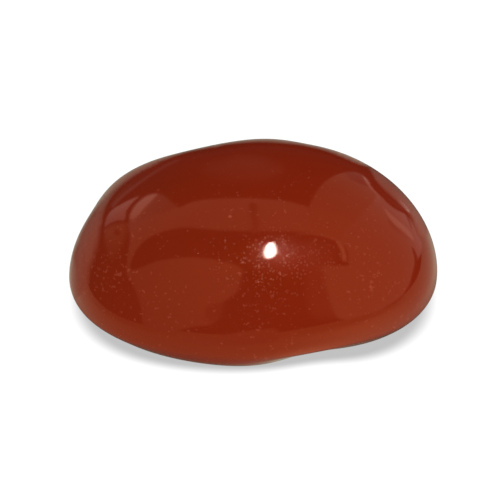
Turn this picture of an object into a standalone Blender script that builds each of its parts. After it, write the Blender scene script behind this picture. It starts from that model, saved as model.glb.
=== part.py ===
# Carnelian cabochon: one polished stone with an irregular oval plan, a domed top and a flat base.
# Metres, +Z up. +X runs along the stone, and -Y is the side with the waist.
# The origin is at the middle of the base, on the surface that the stone rests on.

import math

import bmesh
import bpy

MM = 0.001

# Plan at the girdle, the stone's widest level
HALF_LENGTH = 9.65 * MM
HALF_WIDTH = 7.0 * MM
PLAN_EXPONENT = 2.05  # 2 is a plain ellipse, and more is fuller at the corners

# Section
GIRDLE_HEIGHT = 2.0 * MM
DOME_HEIGHT = 5.8 * MM
UNDERSIDE_DEPTH = 3.2 * MM  # the ellipse below the girdle, cut off by the flat base
BASE_EDGE = 0.35 * MM  # rounding between the underside and the base
CROWN_LEAN_X = 0.9 * MM  # how far the crown leans from the middle of the plan
CROWN_LEAN_Y = 1.2 * MM

# Swells and hollows of the hand-shaped outline: bearing and spread in degrees, the height at the
# girdle, and the height lower down. The waist is mostly an undercut below the girdle.
SWELLS = [
    {"name": "back right flat", "bearing": 61, "spread": 11, "swell": -0.3 * MM, "low swell": -0.25 * MM},
    {"name": "back left flat", "bearing": 119, "spread": 16, "swell": -0.4 * MM, "low swell": -0.45 * MM},
    {"name": "left shoulder", "bearing": 149, "spread": 8, "swell": 0.6 * MM, "low swell": 0.4 * MM},
    {"name": "left end", "bearing": 205, "spread": 19, "swell": 0.65 * MM, "low swell": 0.3 * MM},
    {"name": "front waist", "bearing": 301, "spread": 15, "swell": -0.1 * MM, "low swell": -0.75 * MM},
    {"name": "right end", "bearing": 343, "spread": 17, "swell": 0.55 * MM, "low swell": 0.5 * MM},
]
LOW_SWELL_DROP = 1.0 * MM  # the low swells are reached this far below the girdle

# Fineness of the mesh: meridians, and rings from pole to pole
MERIDIANS = 72
RINGS = 44
UNDERSIDE_RINGS = 11
BASE_EDGE_RINGS = 5

STONE_COLOUR = (0.21, 0.015, 0.0035, 1.0)
STONE_ROUGHNESS = 0.06
STONE_METALLIC = 0.0


def clear_scene():
    for old in list(bpy.data.objects):
        bpy.data.objects.remove(old, do_unlink=True)


def degrees_between(bearing, other):
    return (bearing - other + 180) % 360 - 180


def oval_radius(bearing, exponent):
    across = abs(math.cos(math.radians(bearing)) / HALF_LENGTH) ** exponent
    along = abs(math.sin(math.radians(bearing)) / HALF_WIDTH) ** exponent
    return (across + along) ** (-1 / exponent)


def outline_radius(bearing, height):
    """The hand-shaped outline at or below the girdle, before the section draws it in."""
    drop = min(1, (GIRDLE_HEIGHT - height) / LOW_SWELL_DROP)
    low_share = drop * drop * (3 - 2 * drop)
    radius = oval_radius(bearing, PLAN_EXPONENT)
    for swell in SWELLS:
        off = degrees_between(bearing, swell["bearing"]) / swell["spread"]
        size = swell["swell"] + (swell["low swell"] - swell["swell"]) * low_share
        radius += size * math.exp(-0.5 * off ** 2)
    return radius


def dome_point(bearing, climb):
    """Distance out and height at a climb of 0 (girdle) to 1 (crown)."""
    share = math.cos(climb * math.pi / 2)
    plain = oval_radius(bearing, 2)
    full = outline_radius(bearing, GIRDLE_HEIGHT)
    outline = plain + (full - plain) * share ** 2  # swells fade towards the crown
    return outline * share, GIRDLE_HEIGHT + DOME_HEIGHT * math.sin(climb * math.pi / 2)


def underside_point(bearing, height):
    share = math.sqrt(1 - ((GIRDLE_HEIGHT - height) / UNDERSIDE_DEPTH) ** 2)
    return outline_radius(bearing, height) * share, height


def base_edge_point(bearing, turn):
    """A turn of 0 is on the underside, and 1 on the flat base."""
    start, start_height = underside_point(bearing, BASE_EDGE)
    corner = underside_point(bearing, 0)[0]
    end = corner - BASE_EDGE
    out = start * (1 - turn) ** 2 + 2 * corner * turn * (1 - turn) + end * turn ** 2
    return out, start_height * (1 - turn) ** 2


def surface_point(bearing, ring):
    """Distance out and height on a ring counted up from the base's middle (0) to the crown (RINGS)."""
    girdle_ring = RINGS // 2
    edge_ring = girdle_ring - UNDERSIDE_RINGS
    base_ring = edge_ring - BASE_EDGE_RINGS
    if ring >= girdle_ring:
        return dome_point(bearing, (ring - girdle_ring) / (RINGS - girdle_ring))
    if ring >= edge_ring:
        # even steps of angle round the ellipse of the underside
        low_angle = math.asin((GIRDLE_HEIGHT - BASE_EDGE) / UNDERSIDE_DEPTH)
        angle = low_angle * (girdle_ring - ring) / UNDERSIDE_RINGS
        return underside_point(bearing, GIRDLE_HEIGHT - UNDERSIDE_DEPTH * math.sin(angle))
    if ring >= base_ring:
        return base_edge_point(bearing, (edge_ring - ring) / BASE_EDGE_RINGS)
    return base_edge_point(bearing, 1)[0] * ring / base_ring, 0.0


def shape_stone(bm):
    """Moves each point of a unit sphere to its place on the stone."""
    full_height = GIRDLE_HEIGHT + DOME_HEIGHT
    for vert in bm.verts:
        latitude = math.degrees(math.asin(max(-1, min(1, vert.co.z))))
        ring = round((latitude + 90) / 180 * RINGS)
        bearing = math.degrees(math.atan2(vert.co.y, vert.co.x))
        out, height = surface_point(bearing, ring)
        rise = (height / full_height) ** 2
        vert.co.x = out * math.cos(math.radians(bearing)) + CROWN_LEAN_X * rise
        vert.co.y = out * math.sin(math.radians(bearing)) + CROWN_LEAN_Y * rise
        vert.co.z = height


def centre_plan(bm):
    """Puts the middle of the plan's box on the origin."""
    for axis in (0, 1):
        places = [vert.co[axis] for vert in bm.verts]
        middle = (min(places) + max(places)) / 2
        for vert in bm.verts:
            vert.co[axis] -= middle


def stone_material():
    material = bpy.data.materials.new("polished carnelian")
    material.use_nodes = True
    shader = material.node_tree.nodes["Principled BSDF"]
    shader.inputs["Base Color"].default_value = STONE_COLOUR
    shader.inputs["Roughness"].default_value = STONE_ROUGHNESS
    shader.inputs["Metallic"].default_value = STONE_METALLIC
    material.diffuse_color = STONE_COLOUR
    return material


def make_stone(collection):
    bm = bmesh.new()
    bmesh.ops.create_uvsphere(bm, u_segments=MERIDIANS, v_segments=RINGS, radius=1.0)
    shape_stone(bm)
    centre_plan(bm)
    bmesh.ops.recalc_face_normals(bm, faces=bm.faces)
    mesh = bpy.data.meshes.new("carnelian")
    bm.to_mesh(mesh)
    bm.free()
    mesh.materials.append(stone_material())
    mesh.shade_smooth()
    mesh.set_sharp_from_angle(angle=math.radians(50))
    stone = bpy.data.objects.new("carnelian", mesh)
    collection.objects.link(stone)
    return stone


clear_scene()
parts = bpy.data.collections.new("Carnelian cabochon")
bpy.context.scene.collection.children.link(parts)
make_stone(parts)
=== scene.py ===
import math

import bpy
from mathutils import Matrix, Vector
from mathutils.bvhtree import BVHTree
from mathutils.geometry import delaunay_2d_cdt
from mathutils.interpolate import poly_3d_calc


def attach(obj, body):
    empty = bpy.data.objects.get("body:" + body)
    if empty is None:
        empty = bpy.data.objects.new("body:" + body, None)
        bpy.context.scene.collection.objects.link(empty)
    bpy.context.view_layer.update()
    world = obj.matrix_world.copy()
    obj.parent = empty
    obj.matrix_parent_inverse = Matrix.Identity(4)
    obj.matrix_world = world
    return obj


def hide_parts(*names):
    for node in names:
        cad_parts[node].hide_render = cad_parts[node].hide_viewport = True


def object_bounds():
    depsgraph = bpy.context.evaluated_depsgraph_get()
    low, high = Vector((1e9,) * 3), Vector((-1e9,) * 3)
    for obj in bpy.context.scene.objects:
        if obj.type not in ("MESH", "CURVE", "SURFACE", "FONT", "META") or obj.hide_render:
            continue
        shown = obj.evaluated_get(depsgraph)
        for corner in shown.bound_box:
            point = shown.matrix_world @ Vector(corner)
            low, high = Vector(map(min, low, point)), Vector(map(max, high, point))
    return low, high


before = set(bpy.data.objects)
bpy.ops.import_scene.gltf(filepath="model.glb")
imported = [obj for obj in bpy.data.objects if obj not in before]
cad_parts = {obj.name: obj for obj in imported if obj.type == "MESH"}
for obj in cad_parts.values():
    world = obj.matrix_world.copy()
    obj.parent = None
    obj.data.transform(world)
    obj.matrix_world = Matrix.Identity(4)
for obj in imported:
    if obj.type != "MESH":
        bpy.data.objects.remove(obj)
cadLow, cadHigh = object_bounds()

mm = 0.001
bpy.context.scene.view_settings.view_transform = "Standard"
bpy.context.scene.view_settings.look = "None"


# Camera: a long lens looking down at the stone's front
cameraSetup = {
    "elevation": 45.0,  # degrees above the table
    "lens": 300.0,
    "sensor": 36.0,
    "picture": 500,  # pixels each way
    "pixelsPerMm": 18.45,
    "aim": Vector((-0.17, -0.03, 3.14)) * mm,
    "nearest": 10 * mm,
    "farthest": 10.0,
}


def makeCamera(setup):
    elevation = math.radians(setup["elevation"])
    back = Vector((0, -math.cos(elevation), math.sin(elevation)))
    distance = setup["lens"] * setup["picture"] / setup["pixelsPerMm"] / setup["sensor"] * mm
    data = bpy.data.cameras.new("camera")
    data.lens = setup["lens"]
    data.sensor_width = setup["sensor"]
    data.clip_start = setup["nearest"]
    data.clip_end = setup["farthest"]
    camera = bpy.data.objects.new("camera", data)
    camera.location = setup["aim"] + back * distance
    camera.rotation_mode = "QUATERNION"
    camera.rotation_quaternion = (-back).to_track_quat("-Z", "Y")
    bpy.context.collection.objects.link(camera)
    bpy.context.scene.camera = camera
    return camera


camera = makeCamera(cameraSetup)
print("camera placed")


# The stone: its shape follows one rule, so a node tree makes it
stone = {
    "Half Length": 9.65 * mm,
    "Half Width": 7.0 * mm,
    "Plan Exponent": 2.05,
    "Girdle Height": 2.0 * mm,
    "Dome Height": 5.8 * mm,
    "Underside Depth": 3.2 * mm,
    "Base Edge": 0.35 * mm,
    "Crown Lean X": 0.9 * mm,
    "Crown Lean Y": 1.2 * mm,
    "Low Swell Drop": 1.0 * mm,
    "Side Share": 0.25,  # of the sphere's quarter turn below its equator
    "Edge Share": 0.15,
    "Meridians": 300,
    "Rings": 260,
}
stoneSwells = [
    {"name": "Back Right Flat", "bearing": 61, "spread": 11, "swell": -0.3 * mm, "low swell": -0.25 * mm},
    {"name": "Back Left Flat", "bearing": 119, "spread": 16, "swell": -0.4 * mm, "low swell": -0.45 * mm},
    {"name": "Left Shoulder", "bearing": 149, "spread": 8, "swell": 0.6 * mm, "low swell": 0.4 * mm},
    {"name": "Left End", "bearing": 205, "spread": 19, "swell": 0.65 * mm, "low swell": 0.3 * mm},
    {"name": "Front Waist", "bearing": 301, "spread": 15, "swell": -0.1 * mm, "low swell": -0.75 * mm},
    {"name": "Right End", "bearing": 343, "spread": 17, "swell": 0.55 * mm, "low swell": 0.5 * mm},
]
swellParts = ("bearing", "spread", "swell", "low swell")


class NodeMaths:
    # Short names for the maths nodes of one tree
    def __init__(self, tree):
        self.tree = tree

    def put(self, operation, *values):
        node = self.tree.nodes.new("ShaderNodeMath")
        node.operation = operation
        for socket, value in zip(node.inputs, values):
            if isinstance(value, (int, float)):
                socket.default_value = value
            else:
                self.tree.links.new(value, socket)
        return node.outputs[0]

    def add(self, a, b):
        return self.put("ADD", a, b)

    def sub(self, a, b):
        return self.put("SUBTRACT", a, b)

    def mul(self, a, b):
        return self.put("MULTIPLY", a, b)

    def div(self, a, b):
        return self.put("DIVIDE", a, b)

    def power(self, a, b):
        return self.put("POWER", a, b)

    def clamp(self, a):
        return self.put("MINIMUM", self.put("MAXIMUM", a, 0.0), 1.0)

    def smooth(self, a, start, end):
        # 0 at start, 1 at end, with an even turn at both
        t = self.clamp(self.div(self.sub(a, start), end - start))
        return self.mul(self.mul(t, t), self.sub(3.0, self.mul(t, 2.0)))

    def choose(self, test, whenFalse, whenTrue):
        # from the first number to the second, as test runs from 0 to 1
        return self.add(self.mul(test, whenTrue), self.mul(self.sub(1.0, test), whenFalse))


def ovalRadius(m, bearing, length, width, exponent):
    across = m.power(m.put("ABSOLUTE", m.div(m.put("COSINE", bearing), length)), exponent)
    along = m.power(m.put("ABSOLUTE", m.div(m.put("SINE", bearing), width)), exponent)
    return m.power(m.add(across, along), m.div(-1.0, exponent))


def swellSum(m, bearing, given, size):
    total = 0.0
    for swell in stoneSwells:
        off = m.sub(bearing, m.put("RADIANS", given[swell["name"] + " bearing"]))
        off = m.div(m.put("WRAP", off, math.pi, -math.pi), m.put("RADIANS", given[swell["name"] + " spread"]))
        bell = m.put("EXPONENT", m.mul(m.mul(off, off), -0.5))
        total = m.add(m.mul(bell, given[swell["name"] + " " + size]), total)
    return total


def stoneTree():
    tree = bpy.data.node_groups.new("Cabochon", "GeometryNodeTree")
    face = tree.interface
    face.new_socket("Geometry", in_out="INPUT", socket_type="NodeSocketGeometry")
    face.new_socket("Material", in_out="INPUT", socket_type="NodeSocketMaterial")
    for name, value in stone.items():
        kind = "NodeSocketInt" if isinstance(value, int) else "NodeSocketFloat"
        face.new_socket(name, in_out="INPUT", socket_type=kind)
    for swell in stoneSwells:
        for part in swellParts:
            face.new_socket(swell["name"] + " " + part, in_out="INPUT", socket_type="NodeSocketFloat")
    face.new_socket("Geometry", in_out="OUTPUT", socket_type="NodeSocketGeometry")

    given = tree.nodes.new("NodeGroupInput").outputs
    m = NodeMaths(tree)
    sphere = tree.nodes.new("GeometryNodeMeshUVSphere")
    tree.links.new(given["Meridians"], sphere.inputs["Segments"])
    tree.links.new(given["Rings"], sphere.inputs["Rings"])
    sphere.inputs["Radius"].default_value = 1.0

    place = tree.nodes.new("GeometryNodeInputPosition")
    ball = tree.nodes.new("ShaderNodeSeparateXYZ")
    tree.links.new(place.outputs[0], ball.inputs[0])
    bearing = m.put("ARCTAN2", ball.outputs["Y"], ball.outputs["X"])
    # latitude as a share of a quarter turn: 1 at the crown, -1 at the middle of the base
    level = m.put("MINIMUM", m.put("MAXIMUM", ball.outputs["Z"], -1.0), 1.0)
    climb = m.div(m.put("ARCSINE", level), math.pi / 2)
    fall = m.mul(climb, -1.0)

    plain = ovalRadius(m, bearing, given["Half Length"], given["Half Width"], 2.0)
    full = ovalRadius(m, bearing, given["Half Length"], given["Half Width"], given["Plan Exponent"])
    girdle = m.add(full, swellSum(m, bearing, given, "swell"))
    low = m.add(full, swellSum(m, bearing, given, "low swell"))

    # dome: a quarter ellipse, on which the swells fade out towards the crown
    turn = m.mul(climb, math.pi / 2)
    domeShare = m.put("COSINE", turn)
    domeOutline = m.add(plain, m.mul(m.sub(girdle, plain), m.power(domeShare, 2.0)))
    domeOut = m.mul(domeOutline, domeShare)
    domeHigh = m.add(given["Girdle Height"], m.mul(given["Dome Height"], m.put("SINE", turn)))

    # underside: part of a lower ellipse, on which the low swells take over
    lowDrop = m.sub(given["Girdle Height"], given["Base Edge"])
    lowAngle = m.put("ARCSINE", m.div(lowDrop, given["Underside Depth"]))
    sideAngle = m.mul(m.clamp(m.div(fall, given["Side Share"])), lowAngle)
    sideDrop = m.mul(given["Underside Depth"], m.put("SINE", sideAngle))
    sideHigh = m.sub(given["Girdle Height"], sideDrop)
    lowShare = m.smooth(m.div(sideDrop, given["Low Swell Drop"]), 0.0, 1.0)
    sideOut = m.mul(m.choose(lowShare, girdle, low), m.put("COSINE", sideAngle))

    # rounded edge between the underside and the flat base
    edgeTurn = m.clamp(m.div(m.sub(fall, given["Side Share"]), given["Edge Share"]))
    edgeLeft = m.sub(1.0, edgeTurn)
    edgeStart = m.mul(low, m.put("COSINE", lowAngle))
    cornerAngle = m.put("ARCSINE", m.div(given["Girdle Height"], given["Underside Depth"]))
    corner = m.mul(low, m.put("COSINE", cornerAngle))
    edgeEnd = m.sub(corner, given["Base Edge"])
    bend = m.mul(m.mul(m.mul(2.0, edgeTurn), edgeLeft), corner)
    edgeOut = m.add(m.mul(edgeStart, m.power(edgeLeft, 2.0)), bend)
    edgeOut = m.add(edgeOut, m.mul(edgeEnd, m.power(edgeTurn, 2.0)))
    edgeHigh = m.mul(given["Base Edge"], m.power(edgeLeft, 2.0))

    # flat base
    turned = m.add(given["Side Share"], given["Edge Share"])
    baseOut = m.mul(edgeEnd, m.clamp(m.div(m.sub(1.0, fall), m.sub(1.0, turned))))

    onDome = m.put("GREATER_THAN", climb, 0.0)
    onSide = m.put("LESS_THAN", fall, given["Side Share"])
    onEdge = m.put("LESS_THAN", fall, turned)
    out = m.choose(onEdge, baseOut, edgeOut)
    out = m.choose(onSide, out, sideOut)
    out = m.choose(onDome, out, domeOut)
    high = m.choose(onEdge, 0.0, edgeHigh)
    high = m.choose(onSide, high, sideHigh)
    high = m.choose(onDome, high, domeHigh)

    # the crown leans back and to the right
    rise = m.power(m.div(high, m.add(given["Girdle Height"], given["Dome Height"])), 2.0)
    spot = tree.nodes.new("ShaderNodeCombineXYZ")
    for axis, wave in (("X", "COSINE"), ("Y", "SINE")):
        lean = m.mul(given["Crown Lean " + axis], rise)
        tree.links.new(m.add(m.mul(out, m.put(wave, bearing)), lean), spot.inputs[axis])
    tree.links.new(high, spot.inputs["Z"])
    shaped = tree.nodes.new("GeometryNodeSetPosition")
    tree.links.new(sphere.outputs["Mesh"], shaped.inputs["Geometry"])
    tree.links.new(spot.outputs[0], shaped.inputs["Position"])

    smooth = tree.nodes.new("GeometryNodeSetShadeSmooth")
    tree.links.new(shaped.outputs[0], smooth.inputs[0])
    real = tree.nodes.new("GeometryNodeRealizeInstances")
    tree.links.new(smooth.outputs[0], real.inputs[0])
    finish = tree.nodes.new("GeometryNodeSetMaterial")
    tree.links.new(real.outputs[0], finish.inputs["Geometry"])
    tree.links.new(given["Material"], finish.inputs["Material"])
    made = tree.nodes.new("NodeGroupOutput")
    tree.links.new(finish.outputs[0], made.inputs[0])
    return tree


def setInput(modifier, name, value):
    for item in modifier.node_group.interface.items_tree:
        if item.in_out == "INPUT" and item.name == name:
            modifier[item.identifier] = value


def fitToCad(mesh):
    # centres the plan on the origin and takes the finer mesh's corners inside the solid's box
    for axis in range(3):
        places = [vertex.co[axis] for vertex in mesh.vertices]
        low, high = min(places), max(places)
        shrink = (cadHigh[axis] - cadLow[axis]) / (high - low)
        for vertex in mesh.vertices:
            vertex.co[axis] = cadLow[axis] + (vertex.co[axis] - low) * shrink


def makeStone(material):
    maker = bpy.data.objects.new("stone maker", bpy.data.meshes.new("stone maker"))
    bpy.context.collection.objects.link(maker)
    modifier = maker.modifiers.new("Cabochon", "NODES")
    modifier.node_group = stoneTree()
    setInput(modifier, "Material", material)
    for name, value in stone.items():
        setInput(modifier, name, value)
    for swell in stoneSwells:
        for part in swellParts:
            setInput(modifier, swell["name"] + " " + part, float(swell[part]))
    shown = maker.evaluated_get(bpy.context.evaluated_depsgraph_get())
    mesh = bpy.data.meshes.new_from_object(shown)
    maker.modifiers.remove(modifier)
    bpy.data.objects.remove(maker)
    fitToCad(mesh)
    mesh.update()
    piece = bpy.data.objects.new("polishedCarnelian", mesh)
    bpy.context.collection.objects.link(piece)
    return piece


# Carnelian: deep red-brown, polished, with fine pale specks and tiny dull pits
carnelian = {
    # one red-brown body, with painted shade at the left end and painted light at the right end
    "leftBodyPaintedShade": (0.181, 0.0145, 0.0036),
    "rightBodyPaintedLight": (0.219, 0.0150, 0.0031),
    "leftAt": -9.0 * mm,
    "rightAt": 3.0 * mm,
    "mottleWave": 2.2 * mm,
    "mottle": 0.56,  # how far the body's colour wanders between its two ends
    "shine": (1.0, 0.32, 0.15),  # head-on reflections take the stone's warmth
    "roughness": 0.07,
    "groundColour": (0.30, 0.045, 0.020),
    "groundRoughness": 0.55,
    "groundUpTo": 0.12 * mm,  # the flat base is ground, not polished
    "polishedFrom": 0.18 * mm,
    "ior": 1.54,
    "speckColour": (0.42, 0.085, 0.048),
    "grain": {"wave": 0.22 * mm, "from": 0.62, "to": 0.74, "crowded": 0.12, "strength": 0.26},
    "specks": [
        {"name": "small", "cell": 0.5 * mm, "radius": 0.07 * mm, "share": 0.6, "strength": 0.32},
        {"name": "large", "cell": 1.5 * mm, "radius": 0.12 * mm, "share": 0.5, "strength": 0.55},
    ],
    "speckFaintest": 0.3,  # share of its strength
    "dotCore": 0.35,  # share of a speck's or pit's radius at which it is whole
    "speckWarp": 0.06 * mm,  # how far the specks are pulled out of round
    "speckCloud": 3.2 * mm,  # size of the areas with more or fewer specks
    "speckAreas": [
        {"name": "left end", "x": -7.6 * mm, "y": -3.3 * mm, "reach": 1.7 * mm, "gain": 0.9},
        {"name": "front", "x": 0.4 * mm, "y": -5.6 * mm, "reach": 2.2 * mm, "gain": 0.5},
        {"name": "right end", "x": 7.1 * mm, "y": -3.7 * mm, "reach": 1.2 * mm, "gain": 0.8},
    ],
    "speckBack": 4.0 * mm,  # there are fewer specks behind this
    "speckFront": 0.0 * mm,
    # how crowded the specks are: at least this, more in clouds, and fewer behind
    "crowd": {"least": 0.30, "cloudFrom": 0.38, "cloudTo": 0.62, "cloudGain": 0.5, "behind": 0.25},
    "usualCrowd": 0.85,  # leaves the grain as it is
    # pits of the polish, which scatter the lamp's light round its highlight
    "pits": {
        "cell": 0.16 * mm,
        "radius": 0.08 * mm,
        "share": 0.85,
        "roughness": 0.42,
        "x": 1.8 * mm,
        "y": -3.8 * mm,
        "reachX": 2.7 * mm,
        "reachY": 1.3 * mm,
        "cleanX": 0.92 * mm,  # the spot that mirrors the lamp is clean
        "cleanY": -3.47 * mm,
        "cleanWide": 0.45 * mm,
        "cleanLong": 0.55 * mm,
        "cleanTo": 0.9,  # squares of the distance in those two lengths
        "pittedFrom": 1.3,
        "edge": 0.2,
        "shallowest": 0.5,
        "deeper": 0.8,
    },
}


def carnelianMaterial():
    material = bpy.data.materials.new("polished carnelian")
    material.use_nodes = True
    tree = material.node_tree
    m = NodeMaths(tree)
    place = tree.nodes.new("ShaderNodeTexCoord").outputs["Object"]
    axes = tree.nodes.new("ShaderNodeSeparateXYZ")
    tree.links.new(place, axes.inputs[0])

    def noise(wave, detail):
        node = tree.nodes.new("ShaderNodeTexNoise")
        node.inputs["Scale"].default_value = 1 / wave
        node.inputs["Detail"].default_value = detail
        tree.links.new(place, node.inputs["Vector"])
        return node.outputs["Fac"]

    def blend(share, first, second):
        node = tree.nodes.new("ShaderNodeMix")
        node.data_type = "RGBA"
        for name, value in (("Factor", share), ("A", first), ("B", second)):
            if isinstance(value, tuple):
                node.inputs[name].default_value = (*value, 1)
            else:
                tree.links.new(value, node.inputs[name])
        return node.outputs["Result"]

    # body: painted shade, darker at the left end and lighter and redder to the right; the soft mottling is
    # the stone's own colour
    along = m.div(m.sub(axes.outputs["X"], carnelian["leftAt"]), carnelian["rightAt"] - carnelian["leftAt"])
    mottled = m.mul(m.sub(noise(carnelian["mottleWave"], 3.0), 0.5), carnelian["mottle"])
    body = blend(m.clamp(m.add(along, mottled)), carnelian["leftBodyPaintedShade"], carnelian["rightBodyPaintedLight"])

    def warped():
        # the place, pulled a little this way and that
        node = tree.nodes.new("ShaderNodeTexNoise")
        node.inputs["Scale"].default_value = 1 / carnelian["grain"]["wave"]
        tree.links.new(place, node.inputs["Vector"])
        pull = tree.nodes.new("ShaderNodeVectorMath")
        pull.operation = "MULTIPLY_ADD"
        pull.inputs[1].default_value = [2 * carnelian["speckWarp"]] * 3
        tree.links.new(node.outputs["Color"], pull.inputs[0])
        tree.links.new(place, pull.inputs[2])
        return pull.outputs[0]

    uneven = warped()

    def dots(cell, radius, share):
        # uneven dots scattered through the stone, and a chance number for each
        cells = tree.nodes.new("ShaderNodeTexVoronoi")
        cells.inputs["Scale"].default_value = 1 / cell
        tree.links.new(uneven, cells.inputs["Vector"])
        chance = tree.nodes.new("ShaderNodeSeparateColor")
        tree.links.new(cells.outputs["Color"], chance.inputs[0])
        kept = m.put("LESS_THAN", chance.outputs["Red"], share)
        dot = m.smooth(cells.outputs["Distance"], radius / cell, radius / cell * carnelian["dotCore"])
        return m.mul(dot, kept), chance.outputs["Green"]

    def away(x, y, wide, long):
        # square of the distance from a place in plan, measured in the two given lengths
        offX = m.div(m.sub(axes.outputs["X"], x), wide)
        offY = m.div(m.sub(axes.outputs["Y"], y), long)
        return m.add(m.mul(offX, offX), m.mul(offY, offY))

    # a grain and specks of two sizes, crowded in some places and sparse in others
    crowding = carnelian["crowd"]
    cloud = m.smooth(noise(carnelian["speckCloud"], 1.0), crowding["cloudFrom"], crowding["cloudTo"])
    crowd = m.add(crowding["least"], m.mul(cloud, crowding["cloudGain"]))
    for area in carnelian["speckAreas"]:
        near = m.put("EXPONENT", m.mul(away(area["x"], area["y"], area["reach"], area["reach"]), -1.0))
        crowd = m.add(crowd, m.mul(near, area["gain"]))
    front = m.smooth(axes.outputs["Y"], carnelian["speckBack"], carnelian["speckFront"])
    crowd = m.mul(crowd, m.add(crowding["behind"], m.mul(front, 1 - crowding["behind"])))
    grain = carnelian["grain"]
    extra = m.mul(m.sub(crowd, carnelian["usualCrowd"]), grain["crowded"])
    grained = m.add(noise(grain["wave"], 2.0), extra)
    grained = m.mul(m.smooth(grained, grain["from"], grain["to"]), grain["strength"])
    colour = blend(grained, body, carnelian["speckColour"])
    faintest = carnelian["speckFaintest"]
    for speck in carnelian["specks"]:
        dot, chance = dots(speck["cell"], speck["radius"], m.mul(crowd, speck["share"]))
        strong = m.mul(m.add(m.mul(chance, 1 - faintest), faintest), speck["strength"])
        colour = blend(m.mul(dot, strong), colour, carnelian["speckColour"])

    # ground base, and the pits
    ground = m.smooth(axes.outputs["Z"], carnelian["polishedFrom"], carnelian["groundUpTo"])
    colour = blend(ground, colour, carnelian["groundColour"])
    pits = carnelian["pits"]
    fromClean = away(pits["cleanX"], pits["cleanY"], pits["cleanWide"], pits["cleanLong"])
    besideClean = m.smooth(fromClean, pits["cleanTo"], pits["pittedFrom"])
    fromMiddle = away(pits["x"], pits["y"], pits["reachX"], pits["reachY"])
    nearPits = m.mul(m.put("EXPONENT", m.mul(fromMiddle, -1.0)), besideClean)
    pit, chance = dots(pits["cell"], pits["radius"], m.mul(nearPits, pits["share"]))
    depth = m.add(pits["shallowest"], m.mul(chance, pits["deeper"]))
    dulled = m.mul(m.put("GREATER_THAN", pit, pits["edge"]), depth)
    rough = m.choose(dulled, carnelian["roughness"], pits["roughness"])
    rough = m.choose(ground, rough, carnelian["groundRoughness"])

    shader = tree.nodes["Principled BSDF"]
    tree.links.new(colour, shader.inputs["Base Color"])
    tree.links.new(rough, shader.inputs["Roughness"])
    shader.inputs["IOR"].default_value = carnelian["ior"]
    shader.inputs["Specular Tint"].default_value = (*carnelian["shine"], 1)
    return material


stonePiece = makeStone(carnelianMaterial())
print("stone made:", len(stonePiece.data.polygons), "faces")


# Floor: a pale table. The camera sees white with a soft grey shadow, both drawn here by formula.
# The polish mirrors the zones of paintedFloorLight instead, and diffuse light meets an even pale surface.
floor = {
    "size": 4.0,
    "drop": 0.02 * mm,
    "pale": 0.9,  # how much of the light it sends back to the stone
    "white": 1.05,
}
shadow = {
    "level": 0.535,
    "halfLength": 10.3 * mm,
    "halfWidth": 6.5 * mm,
    "exponent": 2.5,
    "soft": 0.12,  # share of its size that fades out
    "waist": 0.5 * mm,  # it is drawn in at the stone's waist
    "waistAt": 3.6 * mm,
    "waistSpread": 2.6 * mm,
}

# What the polished rims mirror of the floor: a dark line under the stone's edge, then brightest
# near by, and dark behind. It is set for the camera's angle. Bearings and spreads are in
# degrees.
# painted light and painted shadow on the floor, seen only in the stone's reflections: the dark line under the
# edge and the dark floor behind are painted shadow
paintedFloorLight = {
    "halfLength": 10.0 * mm,  # the ring of distance 1
    "halfWidth": 7.0 * mm,
    "colour": (1.0, 0.97, 0.73),
    "darkTo": 0.93,
    "clearFrom": 1.38,
    "backStretch": 4.0,  # the dark line widens behind
    "backFrom": 0.1,  # sine of the bearing
    "quick": 0.25,  # share that clears as fast behind as in front
    "darkFrom": 0.55,  # the floor behind is dark from one sine of the bearing to the other
    "darkAt": 0.95,
    "darkBy": 0.85,
    "everywhere": 0.05,
    "far": [
        {"name": "front", "bearing": -90, "spread": 60, "gain": 0.64},
        {"name": "right", "bearing": 0, "spread": 48, "gain": 0.78},
        {"name": "left", "bearing": 165, "spread": 45, "gain": 0.70},
    ],
    "nearMiddle": 2.0,
    "nearSpread": 1.6,
    "near": [
        {"name": "left", "bearing": -155, "spread": 30, "gain": 0.36},
        {"name": "front", "bearing": -100, "spread": 30, "gain": 0.10},
        {"name": "right", "bearing": -48, "spread": 24, "gain": 0.75},
    ],
    "waistMiddle": 1.2,
    "waistSpread": 0.25,
    "waist": [{"name": "waist", "bearing": -68, "spread": 14, "gain": 1.4}],
    # in the dark line itself
    "rim": [
        {"name": "front", "bearing": -74, "spread": 25, "gain": 0.32},
        {"name": "wide", "bearing": -90, "spread": 100, "gain": 0.15},
    ],
}


def floorPlace(tree):
    place = tree.nodes.new("ShaderNodeTexCoord").outputs["Object"]
    axes = tree.nodes.new("ShaderNodeSeparateXYZ")
    tree.links.new(place, axes.inputs[0])
    return axes.outputs["X"], axes.outputs["Y"]


def bell(m, value, middle, spread):
    off = m.div(m.sub(value, middle), spread)
    return m.put("EXPONENT", m.mul(m.mul(off, off), -1.0))


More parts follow.
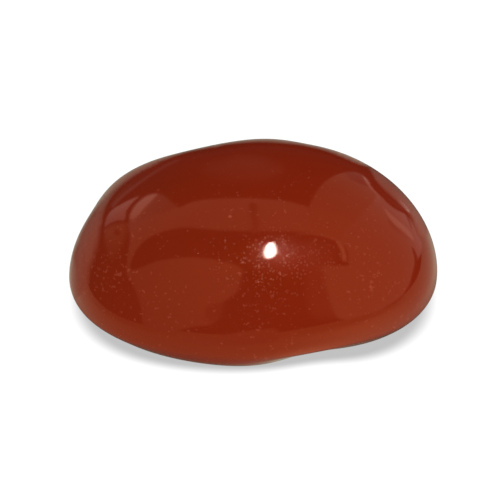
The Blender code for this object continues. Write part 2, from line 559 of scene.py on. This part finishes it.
def floorMirrored(tree):
    m = NodeMaths(tree)
    glow = paintedFloorLight
    x, y = floorPlace(tree)
    bearing = m.put("ARCTAN2", y, x)
    ringX, ringY = m.div(x, glow["halfLength"]), m.div(y, glow["halfWidth"])
    ring = m.put("SQRT", m.add(m.mul(ringX, ringX), m.mul(ringY, ringY)))

    def lobes(kind):
        total = 0.0
        for lobe in glow[kind]:
            off = m.put("WRAP", m.sub(bearing, math.radians(lobe["bearing"])), math.pi, -math.pi)
            total = m.add(m.mul(bell(m, off, 0.0, math.radians(lobe["spread"])), lobe["gain"]), total)
        return total

    near = m.mul(lobes("near"), bell(m, ring, glow["nearMiddle"], glow["nearSpread"]))
    waist = m.mul(lobes("waist"), bell(m, ring, glow["waistMiddle"], glow["waistSpread"]))
    lit = m.add(m.add(m.add(near, waist), lobes("far")), glow["everywhere"])
    # the floor behind the stone is painted into shadow
    behind = m.put("SINE", bearing)
    dark = m.mul(m.smooth(behind, glow["darkFrom"], glow["darkAt"]), glow["darkBy"])
    lit = m.mul(lit, m.sub(1.0, dark))
    # the dark line under the stone's edge is a painted shadow
    back = m.put("MAXIMUM", m.sub(behind, glow["backFrom"]), 0.0)
    width = m.add(glow["clearFrom"] - glow["darkTo"], m.mul(m.mul(back, back), glow["backStretch"]))
    out = m.sub(ring, glow["darkTo"])
    quick = m.smooth(out, 0.0, glow["clearFrom"] - glow["darkTo"])
    clear = m.choose(glow["quick"], m.smooth(m.div(out, width), 0.0, 1.0), quick)
    return m.add(m.mul(lit, clear), m.mul(lobes("rim"), m.sub(1.0, clear)))


def floorSeen(tree):
    m = NodeMaths(tree)
    x, y = floorPlace(tree)
    waist = m.mul(bell(m, x, shadow["waistAt"], shadow["waistSpread"]), shadow["waist"])
    halfWidth = m.sub(shadow["halfWidth"], waist)
    across = m.power(m.put("ABSOLUTE", m.div(x, shadow["halfLength"])), shadow["exponent"])
    along = m.power(m.put("ABSOLUTE", m.div(y, halfWidth)), shadow["exponent"])
    reach = m.power(m.add(across, along), 1 / shadow["exponent"])
    clear = m.smooth(reach, 1 - shadow["soft"], 1.0)
    return m.choose(clear, shadow["level"], floor["white"])


def floorMaterial():
    material = bpy.data.materials.new("pale floor")
    material.use_nodes = True
    tree = material.node_tree
    tree.nodes.clear()
    path = tree.nodes.new("ShaderNodeLightPath")
    sends = tree.nodes.new("ShaderNodeBsdfDiffuse")
    sends.inputs["Color"].default_value = (*[floor["pale"]] * 3, 1)
    surface = sends.outputs[0]
    seen = {
        "Is Glossy Ray": (floorMirrored(tree), paintedFloorLight["colour"]),
        "Is Camera Ray": (floorSeen(tree), (1, 1, 1)),
    }
    for flag, (level, colour) in seen.items():
        glow = tree.nodes.new("ShaderNodeEmission")
        glow.inputs["Color"].default_value = (*colour, 1)
        tree.links.new(level, glow.inputs["Strength"])
        mix = tree.nodes.new("ShaderNodeMixShader")
        tree.links.new(path.outputs[flag], mix.inputs["Fac"])
        tree.links.new(surface, mix.inputs[1])
        tree.links.new(glow.outputs[0], mix.inputs[2])
        surface = mix.outputs[0]
    output = tree.nodes.new("ShaderNodeOutputMaterial")
    tree.links.new(surface, output.inputs["Surface"])
    return material


def makeFloor():
    half = floor["size"] / 2
    corners = [(-half, -half), (half, -half), (half, half), (-half, half)]
    mesh = bpy.data.meshes.new("floor")
    mesh.from_pydata([(x, y, -floor["drop"]) for x, y in corners], [], [(0, 1, 2, 3)])
    mesh.materials.append(floorMaterial())
    piece = bpy.data.objects.new("floor", mesh)
    bpy.context.collection.objects.link(piece)


makeFloor()


# Surroundings: a white dome, stronger from the front, lights the stone, and what it mirrors is dark
surroundings = {
    "dome": 0.93,
    "frontGain": 0.40,
    "mirrored": (0.035, 0.035, 0.035),
}


def makeWorld():
    world = bpy.data.worlds.new("studio")
    bpy.context.scene.world = world
    world.use_nodes = True
    tree = world.node_tree
    m = NodeMaths(tree)
    towards = tree.nodes.new("ShaderNodeSeparateXYZ")
    tree.links.new(tree.nodes.new("ShaderNodeTexCoord").outputs["Generated"], towards.inputs[0])
    level = m.sub(surroundings["dome"], m.mul(towards.outputs["Y"], surroundings["frontGain"]))
    white = tree.nodes.new("ShaderNodeCombineXYZ")
    for axis in "XYZ":
        tree.links.new(level, white.inputs[axis])
    path = tree.nodes.new("ShaderNodeLightPath")
    mix = tree.nodes.new("ShaderNodeMix")
    mix.data_type = "RGBA"
    mix.inputs["B"].default_value = (*surroundings["mirrored"], 1)
    tree.links.new(white.outputs[0], mix.inputs["A"])
    tree.links.new(path.outputs["Is Glossy Ray"], mix.inputs["Factor"])
    tree.links.new(mix.outputs["Result"], tree.nodes["Background"].inputs["Color"])


makeWorld()


# Soft light cards: each stands, or lies on the table, where the polished stone mirrors it at the
# named pixels of the 500 x 500 picture. The pixels were chosen on the reflections in the
# photograph, so the cards are right from the camera's angle alone. A third value of 1 marks a
# corner, and the other points are on a smooth line. "from" and "to" give a pixel and the card's
# brightness there, "soft" the width of a soft edge in pixels, and "depth" which card stands in
# front. An "even" card darkens towards the stone's rim, where the polish mirrors more, and so
# looks evenly bright.
tentRadius = 600 * mm
tentStep = 5 * mm  # a card stands this much nearer for each step of depth
tableStep = 0.002 * mm  # and a card on the table lies this much higher
evenPower = 0.85
inwardStep = 0.25  # pixels
cardColour = (1.0, 0.95, 0.86)
cardMesh = {
    "spacing": 6.0,  # pixels between a card's inner points
    "finest": 1.5,
    "clearPart": 3,  # inner points keep a third of the spacing from the outline
    "merge": 1e-4,
}
cards = [
    {
        "name": "back card",
        "depth": 0,
        "soft": 1.6,
        "from": (150, 215, 0.72),
        "to": (290, 215, 0.90),
        "outline": [
            (128, 222), (132, 207), (146, 194.5), (158, 193), (166, 197), (173, 203), (179, 207, 1),
            (187, 203), (197, 200), (215, 198), (250, 197.5), (285, 200), (309, 206.5, 1), (314, 234, 1),
            (305, 233), (280, 232), (250, 232), (225, 231.5), (205, 230), (190, 228.5), (178, 229),
            (165, 232), (152, 237), (143, 243), (136, 252), (131.5, 262), (130.5, 268, 1), (134, 270, 1),
            (131, 280, 1), (126, 275), (126.5, 262), (128, 250), (129, 238),
        ],
    },
    {
        "name": "hump card",
        "depth": 1,
        "colour": (1.0, 0.88, 0.70),
        "from": (335, 185, 0.68),
        "to": (338, 234, 1.0),
        "outline": [
            (309, 206.5, 1), (314, 196), (321, 186), (331, 177.5), (343, 173), (357, 173.5), (366, 179),
            (373, 189), (386, 206, 1), (375, 214), (360, 232, 1), (336, 239, 1), (322, 235.5), (311, 234, 1),
        ],
    },
    {
        "name": "hump shade",
        "depth": 2,
        "soft": 1.5,
        "from": (350, 176, 0.40),
        "to": (365, 182, 0.32),
        "outline": [(343, 172), (356, 171.5), (365, 176), (371, 187), (361, 185), (352, 181), (346, 177)],
    },
    {
        "name": "right card",
        "depth": 2,
        "soft": 1.6,
        "from": (350, 225, 1.02),
        "to": (400, 290, 1.10),
        "outline": [
            (320, 264.5, 1), (348, 264.5, 1), (347, 254), (343.5, 246), (337, 239.5, 1), (345, 230),
            (355, 220), (364, 211), (372, 202), (376, 193, 1), (385, 200), (395, 208), (405, 213, 1),
            (413, 222), (418, 233), (423, 243), (422, 253), (417, 262), (414, 271), (410, 285), (401, 298),
            (391, 305), (380, 311), (362, 317), (345, 321), (336, 318, 1), (330, 305), (326, 290),
            (323, 278),
        ],
    },
    {
        "name": "left card",
        "depth": 1,
        "soft": 1.6,
        "from": (150, 315, 0.56),
        "to": (235, 272, 0.95),
        "outline": [
            (131, 270, 1), (143, 266), (155, 261), (170, 258), (190, 256.5), (210, 258), (225, 261),
            (237, 264.5), (244, 270, 1), (241.5, 281), (238, 292), (229, 299), (223, 304), (222, 313),
            (217, 321), (209, 326), (195, 327.5), (180, 331), (168, 334), (155, 331), (143, 325),
            (140, 308), (135, 292), (130, 280),
        ],
    },
    {
        "name": "centre glow",
        "depth": 1,
        "soft": 9,
        "from": (318, 250, 0.35),
        "to": (318, 310, 0.40),
        "outline": [
            (304, 238), (330, 240), (340, 255), (336, 275), (338, 300), (340, 318), (322, 323), (306, 313),
            (301, 285), (302, 260),
        ],
    },
    {
        "name": "left card shade",
        "depth": 2,
        "soft": 4,
        "from": (214, 310, 0.36),
        "to": (205, 325, 0.45),
        "outline": [(206, 305), (218, 301), (225, 304), (223, 314), (217, 322), (207, 325), (203, 316)],
    },
    {
        "name": "sliver",
        "depth": 4,
        "soft": 1,
        "from": (132, 216, 1.55),
        "to": (154, 196, 1.65),
        "outline": [
            (129, 219), (131, 212), (137, 203.5), (145, 197), (152, 194), (158, 194), (154, 199), (147, 206),
            (141, 213), (134, 220),
        ],
    },
    {
        "name": "left light",
        "depth": 1,
        "soft": 1,
        "colour": (1.0, 0.86, 0.80),
        "from": (108, 218, 0.70),
        "to": (128, 202, 1.10),
        "outline": [
            (104, 228), (105.5, 219), (110, 211), (117, 206), (126, 201), (135, 197), (141, 195.5),
            (133, 203), (127, 211), (125, 221), (118, 221), (110, 224),
        ],
    },
    {
        "name": "sliver shade",
        "depth": 3,
        "soft": 1.5,
        "from": (165, 198, 0.50),
        "to": (146, 216, 0.62),
        "outline": [
            (157, 194), (165, 196), (173, 202.5), (178, 207), (168, 212), (157, 215), (144, 219), (136, 223),
            (138, 217), (146, 208), (153, 200),
        ],
    },
    {
        "name": "left patch",
        "depth": 1,
        "colour": (1.0, 0.85, 0.55),
        "soft": 5,
        "from": (114, 228, 0.55),
        "to": (114, 258, 0.30),
        "outline": [
            (103, 229), (109, 224), (118, 221.5), (128, 221), (130, 228), (128, 238), (124, 247), (120, 254),
            (116, 260), (112, 265), (107, 257), (104, 248), (102.5, 238),
        ],
    },
    {
        "name": "left patch shade",
        "depth": 2,
        "soft": 2,
        "from": (112, 230, 0.12),
        "to": (118, 236, 0.10),
        "outline": [(112.5, 230), (117, 228), (121, 230.5), (121.5, 234.5), (117.5, 237), (113, 235)],
    },
    {
        "name": "notch",
        "depth": 2,
        "soft": 1.5,
        "from": (253, 205, 0.30),
        "to": (255, 230, 0.50),
        "outline": [
            (248.5, 203), (254, 201), (258, 206), (258, 214), (260, 223), (258, 233), (250, 233),
            (251.5, 222), (249, 213),
        ],
    },
    {
        "name": "top glow",
        "depth": 1,
        "soft": 12,
        "from": (215, 168, 0.15),
        "to": (255, 174, 0.24),
        "outline": [
            (196, 168), (222, 156), (250, 153), (276, 158), (290, 170), (278, 183), (258, 187), (232, 187),
            (210, 183),
        ],
    },
    {
        "name": "upper left arc",
        "depth": 1,
        "colour": (1.0, 0.86, 0.80),
        "soft": 1.5,
        "from": (115, 203, 0.24),
        "to": (172, 162, 0.15),
        "outline": [
            (110, 206), (120, 195), (131, 186), (143, 177.5), (155, 169.5), (167, 163), (179, 158),
            (180, 161), (168, 167), (156, 174), (144, 182), (133, 190.5), (122, 199.5), (113, 209),
        ],
    },
    {
        "name": "upper left gap",
        "depth": 2,
        "soft": 1.5,
        "from": (104, 220, 0.03),
        "to": (160, 162, 0.03),
        "outline": [
            (102, 226), (103, 214), (107, 203), (114, 193), (124, 183.5), (136, 174.5), (150, 166),
            (163, 160), (166, 162), (153, 168.5), (139, 177.5), (127, 186.5), (118, 196), (111, 206),
            (106.5, 216), (104.5, 226),
        ],
    },
    {
        "name": "left sweep",
        "depth": 1,
        "soft": 5.5,
        "even": True,
        "colour": (1.0, 0.84, 0.66),
        "from": (96.5, 250, 1.0),
        "to": (80, 280, 0.95),
        "outline": [
            (109.5, 190), (105.5, 202), (103.2, 214), (102.3, 228), (101, 239), (98.7, 250), (95.5, 260),
            (92.5, 269), (91, 277), (88.5, 286), (81, 297), (66, 300), (58, 285), (58, 265), (61, 245),
            (70, 224), (82, 204), (94, 188),
        ],
    },
    {
        "name": "left rim",
        "depth": 2,
        "soft": 3,
        "colour": (1.0, 0.97, 0.75),
        "from": (150, 225, 0.43),
        "to": (150, 280, 0.60),
        "outline": [
            (66, 299), (60, 285), (60, 262), (66, 238), (76, 214), (90, 196), (108, 180), (130, 165),
            (150, 155), (170, 148), (190, 143), (215, 139), (215, 147), (190, 152.5), (170, 159),
            (150, 168.5), (140, 174), (130, 179.8), (120, 187), (110, 195), (102, 203.5), (96, 211),
            (90, 220), (84.5, 231), (79.5, 244), (75.2, 256), (77, 266), (80.5, 276), (82.5, 288),
            (80, 297),
        ],
    },
    {
        "name": "back rim",
        "depth": 2,
        "soft": 3,
        "colour": (1.0, 0.97, 0.75),
        "from": (260, 220, 0.40),
        "to": (350, 220, 0.42),
        "outline": [
            (212, 139), (235, 135), (262, 133), (290, 134), (315, 139), (335, 145), (352, 151), (366, 158),
            (374, 165), (368, 167.5), (358, 165), (350, 161.8), (340, 157.3), (328, 152.6), (315, 149),
            (300, 146), (285, 144.3), (262, 143), (240, 144), (225, 145.7), (212, 148.2),
        ],
    },
    {
        "name": "front sweep",
        "depth": 1,
        "soft": 1.5,
        "from": (200, 337, 0.72),
        "to": (262, 333, 0.58),
        "outline": [
            (180, 332), (187, 336.5), (198, 338), (210, 337.5), (222, 335), (236, 332), (248, 330),
            (262, 328.5), (278, 329), (276, 342), (240, 346), (200, 346), (178, 340),
        ],
    },
    {
        "name": "right gap",
        "depth": 5,
        "soft": 1,
        "from": (416, 250, 0.05),
        "to": (390, 306, 0.30),
        "outline": [
            (410.5, 245), (414, 248), (416.7, 253), (418.4, 259), (417.6, 265), (415, 271.5), (412.5, 279),
            (408.8, 289.3), (399.5, 300.8), (388, 308), (379, 312), (386.5, 306.3), (397.5, 299),
            (406.8, 288.5), (410.5, 279), (412.6, 270.5), (413.6, 264), (413.4, 257), (412, 251),
        ],
    },
    {
        "name": "right streak",
        "depth": 4,
        "soft": 1.5,
        "from": (385, 210, 1.9),
        "to": (410, 236, 1.8),
        "outline": [
            (382.5, 205.5), (388.5, 211.2), (394.5, 216.5), (400.5, 221.5), (406.5, 227), (411.5, 233),
            (415.5, 242), (410, 239), (404, 233.2), (397, 227.7), (391, 221.7), (386, 214.5),
        ],
    },
    {
        "name": "right streak shade",
        "depth": 3,
        "soft": 2.5,
        "from": (388, 218, 0.65),
        "to": (404, 236, 0.9),
        "outline": [
            (383, 209), (388, 215), (395, 222.5), (403, 229), (411, 236), (412, 243), (400, 236),
            (389, 226),
        ],
    },
    {
        "name": "hump edge",
        "depth": 4,
        "colour": (1.0, 0.85, 0.72),
        "soft": 0.8,
        "from": (364, 178, 1.5),
        "to": (380, 197, 1.1),
        "outline": [
            (361.5, 174.5), (365.5, 177), (369, 181), (371.5, 186), (378, 193), (386, 200.5), (384.5, 201.5),
            (376, 195), (369, 187.5), (365, 181.5),
        ],
    },
    {
        "name": "upper gap",
        "depth": 5,
        "soft": 1,
        "from": (372, 184, 0.04),
        "to": (407, 212, 0.15),
        "outline": [
            (366, 174), (372, 179), (377, 185), (383.6, 191.6), (390, 197), (396, 201), (401, 204.8),
            (405.5, 207.7), (408, 211.5), (405.5, 212.5), (402, 210.8), (397, 208.8), (392.5, 205.3),
            (387, 200.6), (380.8, 195.2), (373, 188.6), (369, 182.3),
        ],
    },
    {
        "name": "upper gap line",
        "depth": 5,
        "soft": 0.8,
        "from": (408, 216, 0.25),
        "to": (411, 229, 0.6),
        "outline": [
            (404.5, 213), (408.5, 216.5), (411.5, 222.5), (413, 229.5), (411, 230), (409, 224),
            (406.3, 218.5),
        ],
    },
    {
        "name": "upper right band",
        "depth": 4,
        "soft": 3,
        "even": True,
        "colour": (1.0, 0.84, 0.66),
        "from": (390, 190, 0.55),
        "to": (412, 215, 0.85),
        "outline": [
            (366, 164), (371, 173), (377, 183.5), (384, 191.5), (392.5, 199), (400.5, 205.5), (407, 211),
            (411.5, 217), (414.5, 226), (418, 237), (429, 236), (428, 220), (417, 200), (400, 182),
            (384, 168),
        ],
    },
    {
        "name": "short streak",
        "depth": 6,
        "colour": (1.0, 0.9, 0.8),
        "soft": 1,
        "from": (399, 200, 0.9),
        "to": (406, 209, 1.7),
        "outline": [
            (396.5, 197.5), (401, 200), (405, 204), (408.5, 208), (411, 213), (408.5, 213), (404.5, 209),
            (400.5, 204.5), (397.5, 201),
        ],
    },
    {
        "name": "slot arc",
        "depth": 4,
        "soft": 0.8,
        "from": (338, 243, 2.0),
        "to": (345, 258, 2.3),
        "outline": [
            (335, 238), (339.5, 240), (343.3, 245), (345.6, 251), (346.4, 257), (346.4, 262), (342.4, 262),
            (341.7, 256), (340.2, 250.5), (337.3, 245),
        ],
    },
    {
        "name": "slot line",
        "depth": 3,
        "soft": 0.8,
        "from": (300, 234, 1.0),
        "to": (335, 239, 1.35),
        "outline": [
            (296, 232.5), (312, 233), (325, 235), (337, 238.5), (336, 241.5), (324, 237.5), (311, 235.5),
            (298, 235),
        ],
    },
]


def smoothOutline(points, step=4.0):
    # a Catmull-Rom line through the points, broken at the corners
    count = len(points)
    line = []
    for i in range(count):
        here, there = points[i], points[(i + 1) % count]
        start, end = Vector(here[:2]), Vector(there[:2])
        before = start - (end - start) if len(here) > 2 else Vector(points[i - 1][:2])
        after = end + (end - start) if len(there) > 2 else Vector(points[(i + 2) % count][:2])
        pieces = max(1, round((end - start).length / step))
        for k in range(pieces):
            t = k / pieces
            a = 2 * start
            b = (end - before) * t
            c = (2 * before - 5 * start + 4 * end - after) * t * t
            d = (3 * start - before - 3 * end + after) * t * t * t
            line.append((a + b + c + d) / 2)
    return line


def insideOutline(point, line):
    # counts the crossings of a ray towards +X
    inside = False
    for i in range(len(line)):
        a, b = line[i - 1], line[i]
        if (a.y > point.y) != (b.y > point.y):
            if point.x < (b.x - a.x) * (point.y - a.y) / (b.y - a.y) + a.x:
                inside = not inside
    return inside


def toOutline(point, line):
    nearest = math.inf
    for i in range(len(line)):
        a, b = line[i - 1], line[i]
        share = (point - a).dot(b - a) / max((b - a).length_squared, 1e-9)
        nearest = min(nearest, (a + (b - a) * max(0, min(1, share)) - point).length)
    return nearest


class StoneMirror:
    # Follows a line of sight to the stone and on to what the stone mirrors there
    def __init__(self, piece):
        mesh = piece.data
        self.points = [vertex.co.copy() for vertex in mesh.vertices]
        self.normals = [vertex.normal.copy() for vertex in mesh.vertices]
        self.polygons = [tuple(polygon.vertices) for polygon in mesh.polygons]
        self.tree = BVHTree.FromPolygons(self.points, self.polygons)
        self.eye = camera.location.copy()
        turn = camera.rotation_quaternion
        self.right = turn @ Vector((1, 0, 0))
        self.up = turn @ Vector((0, 1, 0))
        self.forward = turn @ Vector((0, 0, -1))
        self.scale = cameraSetup["lens"] / cameraSetup["sensor"] * cameraSetup["picture"]

    def look(self, pixel):
        half = cameraSetup["picture"] / 2
        across = (pixel[0] - half) / self.scale
        above = (half - pixel[1]) / self.scale
        return (self.forward + self.right * across + self.up * above).normalized()

    def bounce(self, pixel):
        sight = self.look(pixel)
        place, _, index, _ = self.tree.ray_cast(self.eye, sight)
        if place is None:
            return None
        corners = self.polygons[index]
        weights = poly_3d_calc([self.points[i] for i in corners], place)
        normal = Vector((0, 0, 0))
        for i, weight in zip(corners, weights):
            normal += self.normals[i] * weight
        normal.normalize()
        facing = -sight.dot(normal)
        return place, sight + 2 * facing * normal, facing


def tentPoint(place, ray, depth):
    # on a sphere round the stone, or on the table where the ray meets that first
    radius = tentRadius - depth * tentStep
    middle = place.dot(ray)
    far = math.sqrt(middle * middle - place.dot(place) + radius * radius) - middle
    if ray.z < 0:
        lift = (depth + 1) * tableStep - floor["drop"]
        far = min(far, (lift - place.z) / ray.z)
    return place + ray * far


def glowMaterial(name, colour, adds):
    material = bpy.data.materials.new(name)
    material.use_nodes = True
    tree = material.node_tree
    tree.nodes.clear()
    sockets = {}
    for part in ("level", "cover"):
        node = tree.nodes.new("ShaderNodeAttribute")
        node.attribute_name = part
        sockets[part] = node.outputs["Fac"]
    glow = tree.nodes.new("ShaderNodeEmission")
    glow.inputs["Color"].default_value = (*colour, 1)
    tree.links.new(sockets["level"], glow.inputs["Strength"])
    clear = tree.nodes.new("ShaderNodeBsdfTransparent")
    mix = tree.nodes.new("ShaderNodeAddShader" if adds else "ShaderNodeMixShader")
    if not adds:
        tree.links.new(sockets["cover"], mix.inputs["Fac"])
    tree.links.new(clear.outputs[0], mix.inputs[-2])
    tree.links.new(glow.outputs[0], mix.inputs[-1])
    output = tree.nodes.new("ShaderNodeOutputMaterial")
    tree.links.new(mix.outputs[0], output.inputs["Surface"])
    return material


def alongCard(card):
    # brightness that runs evenly from one named pixel to the other
    start, end = Vector(card["from"][:2]), Vector(card["to"][:2])

    def level(spot):
        share = (spot - start).dot(end - start) / (end - start).length_squared
        return card["from"][2] + (card["to"][2] - card["from"][2]) * max(0, min(1, share))

    return level


def gloss(facing):
    # share of the light that the polish mirrors at this angle
    headOn = ((carnelian["ior"] - 1) / (carnelian["ior"] + 1)) ** 2
    return headOn + (1 - headOn) * (1 - max(0, min(1, facing))) ** 5


def ontoStone(mirror, spot, middle):
    # draws a point beside the stone in towards the middle of its card
    while mirror.bounce(spot) is None:
        spot = spot + (middle - spot).normalized() * inwardStep
    return spot


def makeCard(mirror, card, levelAt, spacing=cardMesh["spacing"], adds=False):
    soft = card.get("soft", 0)
    softLine = smoothOutline(card["outline"])
    middle = Vector(card["from"][:2]) if "from" in card else sum(softLine, Vector((0, 0))) / len(softLine)
    line = [ontoStone(mirror, spot, middle) for spot in softLine]
    if soft:
        spacing = max(cardMesh["finest"], min(spacing, soft))
    clearance = spacing / cardMesh["clearPart"]
    spots = list(line)
    left, right = min(p.x for p in line), max(p.x for p in line)
    top, bottom = min(p.y for p in line), max(p.y for p in line)
    y = top
    while y < bottom:
        x = left
        while x < right:
            spot = Vector((x, y))
            if insideOutline(spot, line) and toOutline(spot, line) > clearance:
                spots.append(spot)
            x += spacing
        y += spacing
    ring = list(range(len(line)))
    flat = delaunay_2d_cdt(spots, [], [ring], 1, cardMesh["merge"])
    points, levels, covers, keep = [], [], [], {}
    evenGloss = gloss(mirror.bounce(card["from"])[2]) if card.get("even") else 0
    for i, spot in enumerate(flat[0]):
        seen = mirror.bounce(spot)
        if seen is None:
            continue
        keep[i] = len(points)
        points.append(tentPoint(seen[0], seen[1], card["depth"]))
        evened = min(1, evenGloss / gloss(seen[2])) ** evenPower if evenGloss else 1
        levels.append(levelAt(spot) * evened)
        covers.append(min(1, toOutline(spot, softLine) / soft) if soft else 1)
    faces = [[keep[i] for i in face] for face in flat[2] if all(i in keep for i in face)]
    mesh = bpy.data.meshes.new(card["name"])
    mesh.from_pydata(points, [], faces)
    for part, values in (("level", levels), ("cover", covers)):
        mesh.attributes.new(part, "FLOAT", "POINT").data.foreach_set("value", values)
    mesh.materials.append(glowMaterial(card["name"], card.get("colour", cardColour), adds))
    piece = bpy.data.objects.new(card["name"].replace(" ", "_"), mesh)
    bpy.context.collection.objects.link(piece)
    piece.visible_camera = False
    piece.visible_diffuse = False
    piece.visible_transmission = False
    piece.visible_volume_scatter = False
    piece.visible_shadow = False


mirror = StoneMirror(stonePiece)
for card in cards:
    makeCard(mirror, card, alongCard(card))
print("cards placed:", len(cards))


# Lamp: a small bright disc, mirrored as the highlight, with a faint bloom round it
lamp = {
    "outline": [
        (271.8, 242.6), (273.8, 243.4), (274.6, 246.2), (276, 249.4), (276, 252.6), (274.2, 255.9),
        (270.8, 257.8), (267, 258.1), (265.2, 256.2), (264.6, 252.5), (265.4, 248.3), (267, 245.2),
        (269.3, 243.1),
    ],
    "level": 110.0,
    "colour": (0.55, 1.2, 2.2),  # partly undoes the warm tint of the stone's shine
    "spacing": 3.0,
}
bloom = {
    "middle": (282, 256),
    "halfWide": 42,
    "halfHigh": 25,
    "level": 2.4,
    "fall": 2.6,
    "colour": (1.0, 1.0, 1.6),
    "spacing": 3.0,
    "corners": 24,
}


def ovalOutline(middle, halfAcross, halfAlong, count):
    turns = [2 * math.pi * k / count for k in range(count)]
    return [
        (middle[0] + halfAcross * math.cos(turn), middle[1] + halfAlong * math.sin(turn))
        for turn in turns
    ]


def makeLamp():
    card = {"name": "lamp", "depth": 8, "outline": lamp["outline"], "colour": lamp["colour"]}
    makeCard(mirror, card, lambda spot: lamp["level"], lamp["spacing"])


def makeBloom():
    middle = Vector(bloom["middle"])
    outline = ovalOutline(middle, bloom["halfWide"], bloom["halfHigh"], bloom["corners"])

    def level(spot):
        off = spot - middle
        away = math.hypot(off.x / bloom["halfWide"], off.y / bloom["halfHigh"])
        return bloom["level"] * max(0, math.exp(-bloom["fall"] * away) - math.exp(-bloom["fall"]))

    card = {"name": "bloom", "depth": 7, "outline": outline, "colour": bloom["colour"]}
    makeCard(mirror, card, level, bloom["spacing"], adds=True)


makeLamp()
makeBloom()
print("lights placed")

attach(stonePiece, "root")
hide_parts("carnelian")
